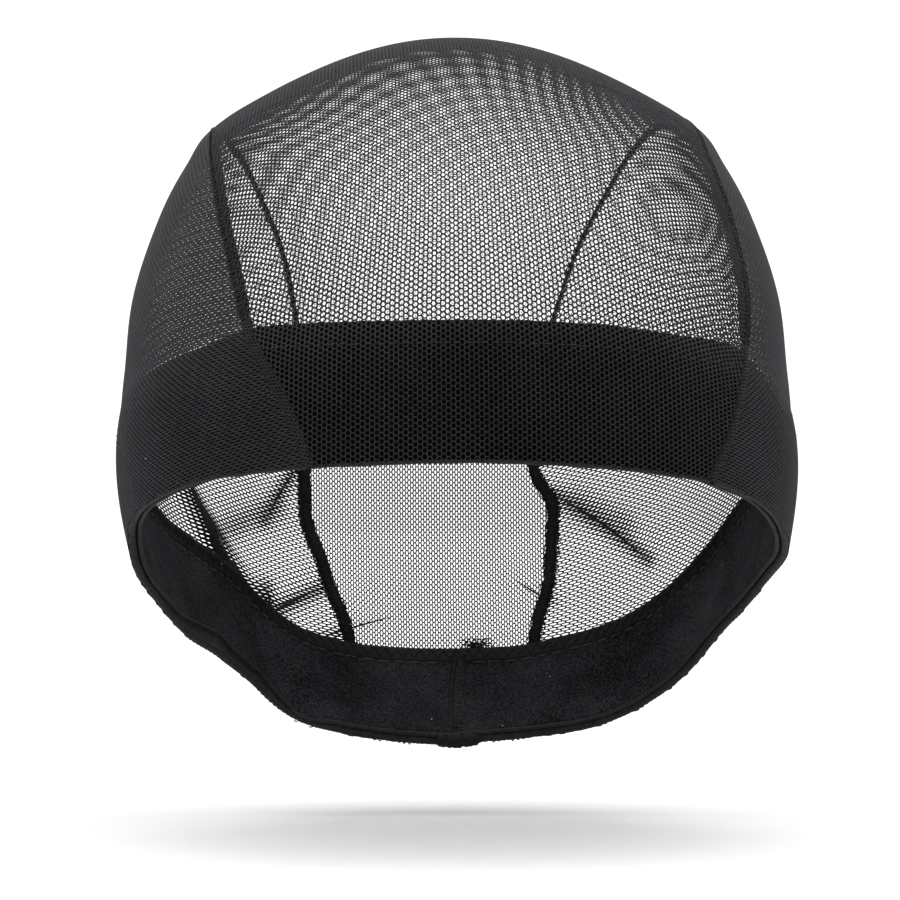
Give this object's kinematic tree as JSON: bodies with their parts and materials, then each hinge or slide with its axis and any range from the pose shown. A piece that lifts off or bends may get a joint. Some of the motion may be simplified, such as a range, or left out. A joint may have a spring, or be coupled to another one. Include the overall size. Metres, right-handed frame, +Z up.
{
  "type": "wig cap",
  "caption": "Open mesh dome cap that a wig is made on, with a wide elastic band inside a rolled rim, low behind the neck.",
  "frame": {"origin": "middle of the head ring, at the level where the band grips the sides of the head", "axes": "+Z up to the crown, -Y towards the forehead, +Y towards the nape, +X towards the wearer's left"},
  "size_m": [0.1595, 0.1871, 0.1704],
  "materials": {
    "net": "stretch nylon net with six-sided holes, charcoal black, soft sheen",
    "seam_thread": "overlocked black thread, matt",
    "elastic": "black plush elastic, matt"
  },
  "bodies": {
    "root": {"crown_panel": "net", "side_panel_left": "net", "side_panel_right": "net", "seam_left": "seam_thread", "seam_right": "seam_thread", "elastic_band": "elastic", "elastic_join": "elastic", "rim_roll": "net"}
  },
  "joints": []
}
